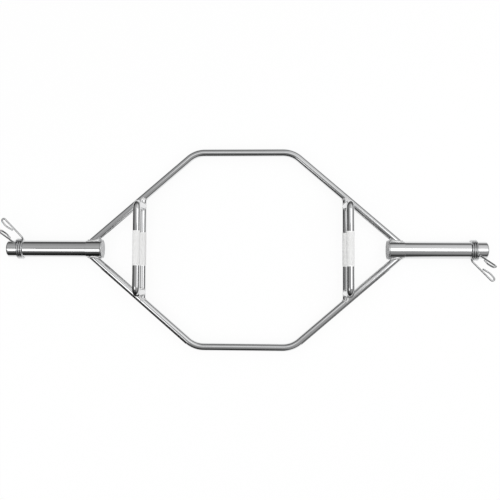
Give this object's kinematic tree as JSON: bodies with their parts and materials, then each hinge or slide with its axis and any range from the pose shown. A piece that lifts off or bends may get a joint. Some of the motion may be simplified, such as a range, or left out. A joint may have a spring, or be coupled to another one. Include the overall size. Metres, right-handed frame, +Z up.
{
  "type": "hex trap bar",
  "caption": "Hexagonal bent-rod lifting frame with low and raised knurled handles, a round plate sleeve at each end and sliding wire spring collars.",
  "frame": {"origin": "on the floor under the middle of the bar, half way between the sleeves' ends and between the two rails", "axes": "+X along the plate sleeves to the right-hand end, +Y towards the rear rail, +Z up from the floor"},
  "size_m": [1.4592, 0.602, 0.1417],
  "materials": {
    "chrome_rod": "polished chrome plate on a bent steel rod",
    "chrome_sleeve": "polished chrome plate on turned steel tube",
    "knurled_grip": "satin chrome plate over a diamond knurl",
    "spring_wire": "bright plated spring wire"
  },
  "bodies": {
    "bar": {"front_frame_rod": "chrome_rod", "rear_frame_rod": "chrome_rod", "left_low_handle": "chrome_rod", "right_low_handle": "chrome_rod", "left_raised_handle": "chrome_rod", "right_raised_handle": "chrome_rod", "left_low_grip": "knurled_grip", "right_low_grip": "knurled_grip", "left_raised_grip": "knurled_grip", "right_raised_grip": "knurled_grip", "left_hub": "chrome_sleeve", "right_hub": "chrome_sleeve", "left_hub_plate": "chrome_sleeve", "right_hub_plate": "chrome_sleeve", "left_sleeve": "chrome_sleeve", "right_sleeve": "chrome_sleeve", "left_sleeve_plug": "chrome_sleeve", "right_sleeve_plug": "chrome_sleeve"},
    "left_collar": {"left_collar_coil": "spring_wire", "left_collar_stay": "spring_wire"},
    "left_collar_arm": {"left_collar_lever": "spring_wire"},
    "right_collar": {"right_collar_coil": "spring_wire", "right_collar_stay": "spring_wire"},
    "right_collar_arm": {"right_collar_lever": "spring_wire"}
  },
  "joints": [
    {"name": "left_collar_slide", "type": "slide", "parent": "bar", "child": "left_collar", "axis": [-1, 0, 0], "range_m": [-0.185, 0.075]},
    {"name": "left_collar_squeeze", "type": "hinge", "parent": "left_collar", "child": "left_collar_arm", "pos_m": [-0.675, 0, 0.0303], "axis": [1, 0, 0], "range_deg": [0, 30], "stiffness_Nm_per_rad": 8, "springref_deg": -2.86, "deforming": ["left_collar_coil"]},
    {"name": "right_collar_slide", "type": "slide", "parent": "bar", "child": "right_collar", "axis": [1, 0, 0], "range_m": [-0.185, 0.075]},
    {"name": "right_collar_squeeze", "type": "hinge", "parent": "right_collar", "child": "right_collar_arm", "pos_m": [0.675, 0, 0.0303], "axis": [-1, 0, 0], "range_deg": [0, 30], "stiffness_Nm_per_rad": 8, "springref_deg": -2.86, "deforming": ["right_collar_coil"]}
  ]
}
